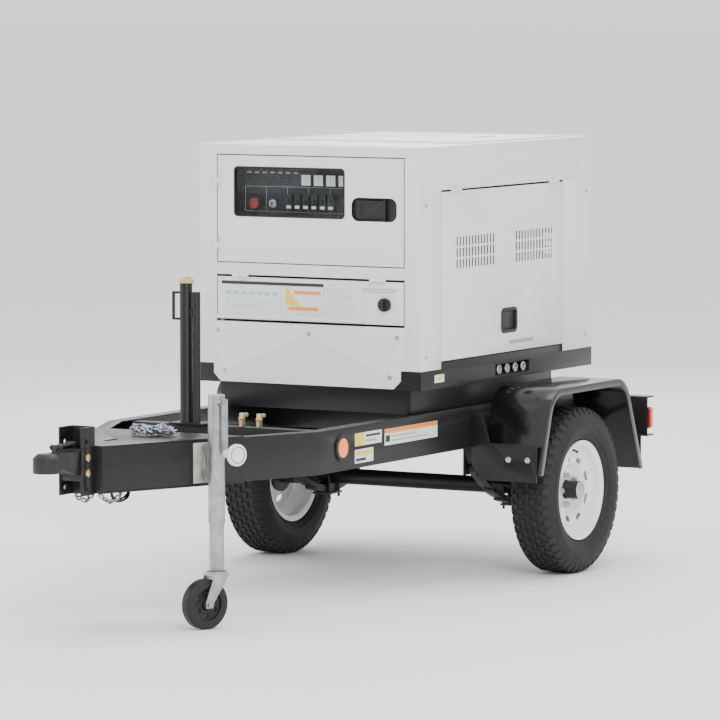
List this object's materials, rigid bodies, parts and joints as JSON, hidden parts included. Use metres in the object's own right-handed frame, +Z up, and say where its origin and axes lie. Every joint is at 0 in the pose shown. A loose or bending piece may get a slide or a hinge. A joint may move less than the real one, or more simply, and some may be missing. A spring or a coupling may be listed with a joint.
{
  "type": "towable diesel generator",
  "caption": "Weatherproof diesel generator set on a single-axle trailer with swivel jack, ball coupler, fenders and hinged service doors.",
  "frame": {"origin": "on the ground, at the centre of the footprint", "axes": "+Z up, -Y towards the coupler, +X to the road side"},
  "size_m": [1.404, 3.21, 1.588],
  "materials": {
    "white_paint": "satin powder coat",
    "black_paint": "gloss",
    "zinc": "zinc plated",
    "brass": "satin",
    "white_rim": "gloss",
    "tyre_rubber": "matt",
    "caster_rubber": "matt",
    "black_plastic": "moulded",
    "grip_plastic": "moulded",
    "stop_red": "moulded",
    "fan_plastic": "moulded",
    "window": "clear",
    "lamp_lens": "lens",
    "engine_paint": "painted",
    "radiator_black": "matt",
    "hot_steel": "heat stained"
  },
  "bodies": {
    "chassis": {"rail_right": "black_paint", "rail_left": "black_paint", "crossmembers": "black_paint", "tongue_box": "black_paint", "coupler_channel": "black_paint", "coupler_body": "black_paint", "frame_bolts": "zinc", "safety_chain": "zinc", "wiring_harness": "black_plastic", "jack_bracket": "zinc", "filler_neck": "black_paint", "fuel_tank": "black_paint", "base_skid": "black_paint", "front_post_right": "white_paint", "front_post_left": "white_paint", "front_midrail": "white_paint", "control_panel": "black_plastic", "terminal_board": "black_plastic", "cable_panel": "white_paint", "roof_cover": "white_paint", "rear_panel": "white_paint", "engine": "engine_paint", "alternator": "engine_paint", "radiator": "radiator_black", "muffler": "hot_steel", "battery": "black_plastic", "axle": "black_paint", "leaf_springs": "black_paint", "spring_hangers": "black_paint", "fender_right": "black_paint", "fender_left": "black_paint", "fender_brackets": "black_paint", "rear_beam": "black_paint", "lamps": "lamp_lens"},
    "latch_lever": {"coupler_latch": "black_paint"},
    "jack": {"jack_outer": "zinc"},
    "jack_leg": {"jack_inner": "zinc"},
    "crank": {"jack_crank": "zinc"},
    "grip": {"crank_grip": "grip_plastic"},
    "caster": {"caster_fork": "zinc"},
    "caster_roller": {"caster_wheel": "caster_rubber"},
    "fuel_cap": {"filler_cap": "brass"},
    "panel_door": {"control_door": "white_paint", "door_window": "window"},
    "paddle": {"door_latch": "black_plastic"},
    "key": {"key_switch": "zinc"},
    "stop": {"stop_button": "stop_red"},
    "flap": {"output_flap": "white_paint"},
    "knob": {"flap_knob": "black_plastic"},
    "door_right": {"side_door_right": "white_paint"},
    "door_left": {"side_door_left": "white_paint"},
    "paddle_right": {"side_latch_right": "black_plastic"},
    "paddle_left": {"side_latch_left": "black_plastic"},
    "fan_rotor": {"fan": "fan_plastic"},
    "wheel_right": {"hub_right": "black_paint", "rim_right": "white_rim", "tyre_right": "tyre_rubber"},
    "wheel_left": {"hub_left": "black_paint", "rim_left": "white_rim", "tyre_left": "tyre_rubber"}
  },
  "joints": [
    {"name": "coupler_latch_lift", "type": "hinge", "parent": "chassis", "child": "latch_lever", "pos_m": [0, -1.507, 0.644], "axis": [1, 0, 0], "range_deg": [0, 75]},
    {"name": "jack_swing", "type": "hinge", "parent": "chassis", "child": "jack", "pos_m": [0.24239, -0.94001, 0.56], "axis": [0.9198, -0.3924, 0], "range_deg": [0, 90]},
    {"name": "jack_lift", "type": "slide", "parent": "jack", "child": "jack_leg", "axis": [0, 0, 1], "range_m": [-0.1, 0.13]},
    {"name": "crank_turn", "type": "hinge", "parent": "jack", "child": "crank", "pos_m": [0.29022, -0.96042, 0.765], "axis": [0.9198, -0.3924, 0], "continuous": true},
    {"name": "grip_turn", "type": "hinge", "parent": "crank", "child": "grip", "pos_m": [0.29022, -0.96042, 0.595], "axis": [0.9198, -0.3924, 0], "continuous": true},
    {"name": "caster_swivel", "type": "hinge", "parent": "jack_leg", "child": "caster", "pos_m": [0.29022, -0.96042, 0.15], "axis": [0, 0, 1], "continuous": true},
    {"name": "caster_roll", "type": "hinge", "parent": "caster", "child": "caster_roller", "pos_m": [0.2706, -1.00641, 0.085], "axis": [0.9198, -0.3924, 0], "continuous": true},
    {"name": "fuel_cap_turn", "type": "hinge", "parent": "chassis", "child": "fuel_cap", "pos_m": [-0.16, -0.42, 1.12], "axis": [0, 0, 1], "continuous": true},
    {"name": "panel_door_swing", "type": "hinge", "parent": "chassis", "child": "panel_door", "pos_m": [-0.385, 0.15, 1.35], "axis": [0, 0, 1], "range_deg": [-115, 0]},
    {"name": "paddle_pull", "type": "hinge", "parent": "panel_door", "child": "paddle", "pos_m": [0.305, 0.169, 1.36], "axis": [0, 0, 1], "range_deg": [0, 28], "stiffness_Nm_per_rad": 0.6},
    {"name": "key_turn", "type": "hinge", "parent": "chassis", "child": "key", "pos_m": [-0.183, 0.23, 1.369], "axis": [0, 1, 0], "range_deg": [0, 90]},
    {"name": "stop_press", "type": "slide", "parent": "chassis", "child": "stop", "axis": [0, 1, 0], "range_m": [0, 0.005], "stiffness_N_per_m": 800},
    {"name": "flap_lift", "type": "hinge", "parent": "chassis", "child": "flap", "pos_m": [-0.311, 0.15, 1.11], "axis": [1, 0, 0], "range_deg": [-100, 0]},
    {"name": "knob_turn", "type": "hinge", "parent": "flap", "child": "knob", "pos_m": [0.313, 0.16, 1.024], "axis": [0, 1, 0], "range_deg": [0, 90]},
    {"name": "door_right_lift", "type": "hinge", "parent": "chassis", "child": "door_right", "pos_m": [0.468, 0.312, 1.426], "axis": [0, 1, 0], "range_deg": [-85, 0]},
    {"name": "door_left_lift", "type": "hinge", "parent": "chassis", "child": "door_left", "pos_m": [-0.468, 0.312, 1.426], "axis": [0, 1, 0], "range_deg": [0, 85]},
    {"name": "paddle_right_pull", "type": "hinge", "parent": "door_right", "child": "paddle_right", "pos_m": [0.45, 0.82, 0.965], "axis": [0, 1, 0], "range_deg": [-30, 0]},
    {"name": "paddle_left_pull", "type": "hinge", "parent": "door_left", "child": "paddle_left", "pos_m": [-0.45, 0.82, 0.965], "axis": [0, 1, 0], "range_deg": [0, 30]},
    {"name": "fan_spin", "type": "hinge", "parent": "chassis", "child": "fan_rotor", "pos_m": [0, 1.35, 1.11], "axis": [0, 1, 0], "continuous": true},
    {"name": "wheel_right_roll", "type": "hinge", "parent": "chassis", "child": "wheel_right", "pos_m": [0.609, 0.985, 0.305], "axis": [1, 0, 0], "continuous": true},
    {"name": "wheel_left_roll", "type": "hinge", "parent": "chassis", "child": "wheel_left", "pos_m": [-0.609, 0.985, 0.305], "axis": [1, 0, 0], "continuous": true}
  ]
}
